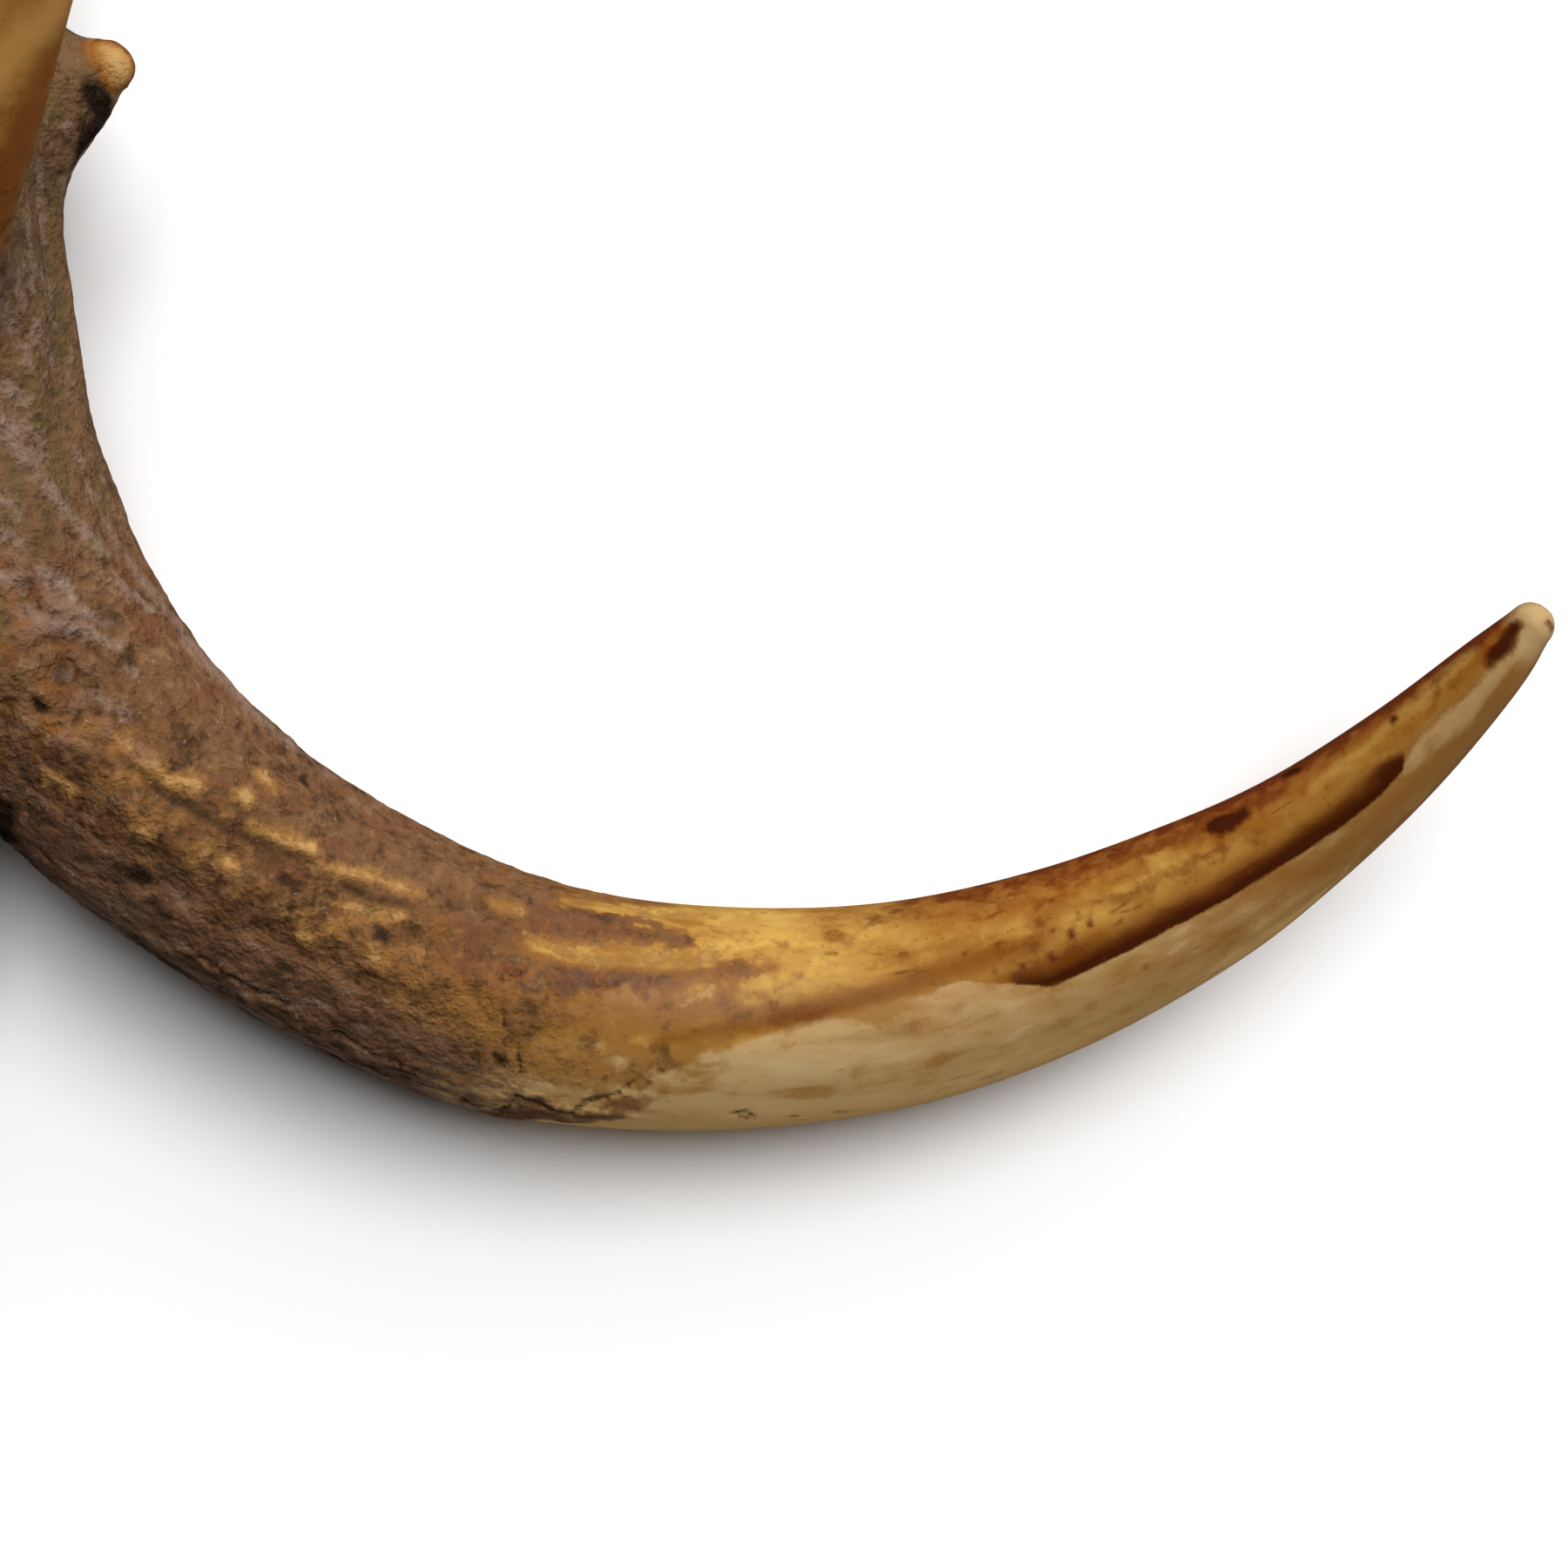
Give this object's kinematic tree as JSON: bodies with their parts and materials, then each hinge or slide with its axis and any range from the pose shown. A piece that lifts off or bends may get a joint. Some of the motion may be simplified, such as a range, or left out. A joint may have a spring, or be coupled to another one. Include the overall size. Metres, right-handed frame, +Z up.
{
  "type": "deer antler",
  "caption": "Shed deer antler lying on its side: a ridged beam with a lumpy burr, a long curved brow tine and further tines, split at its main forks.",
  "frame": {"origin": "on the surface that the antler lies on, under the middle of its bounding box", "axes": "+Z up from that surface, +Y along the beam from the burr towards the crown, +X the way the brow tine points"},
  "size_m": [0.2502, 0.5806, 0.0926],
  "materials": {
    "rough_bone": "matte",
    "polished_bone": "satin"
  },
  "bodies": {
    "root": {"main_beam": "rough_bone", "brow_tine": "polished_bone", "bez_tine": "polished_bone", "trez_tine": "polished_bone", "crown_tine": "polished_bone"}
  },
  "joints": []
}
